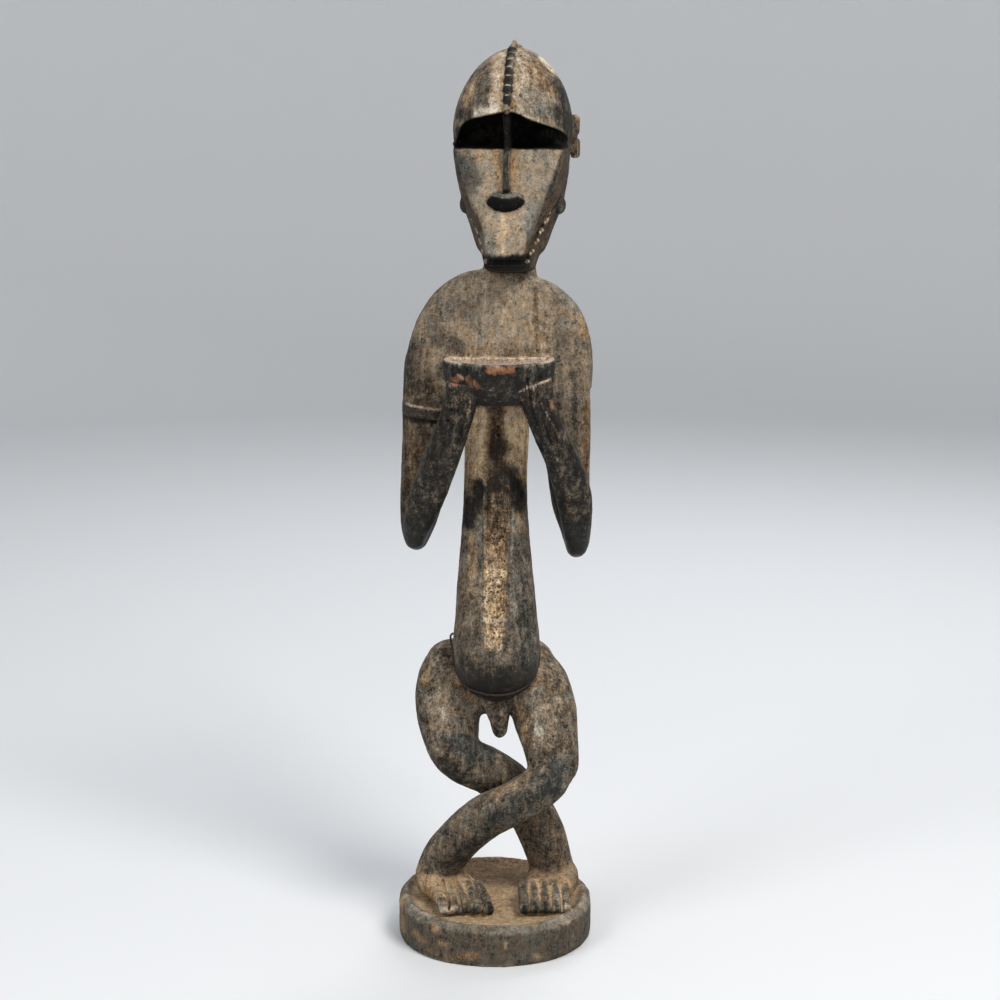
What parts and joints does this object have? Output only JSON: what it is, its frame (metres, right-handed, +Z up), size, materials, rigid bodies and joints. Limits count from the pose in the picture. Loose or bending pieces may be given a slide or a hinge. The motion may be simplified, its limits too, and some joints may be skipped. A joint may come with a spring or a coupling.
{
  "type": "standing animal-headed figure with bowl",
  "caption": "Carved wooden figure with a long-muzzled animal head, standing on crossed, bent legs on a round base and holding a half-round bowl against its chest",
  "frame": {"origin": "centre of the round base's underside", "axes": "+Z up along the figure's height, -Y the way the face and the bowl point, +X towards the figure's own left side"},
  "size_m": [0.1548, 0.161, 0.7009],
  "materials": {
    "carved_wood": "dry dark patina, worn to tan wood on the face, the belly strip and the feet",
    "fibre_cord": "dark twisted plant fibre"
  },
  "bodies": {
    "root": {"figure": "carved_wood", "waist_cord": "fibre_cord"}
  },
  "joints": []
}
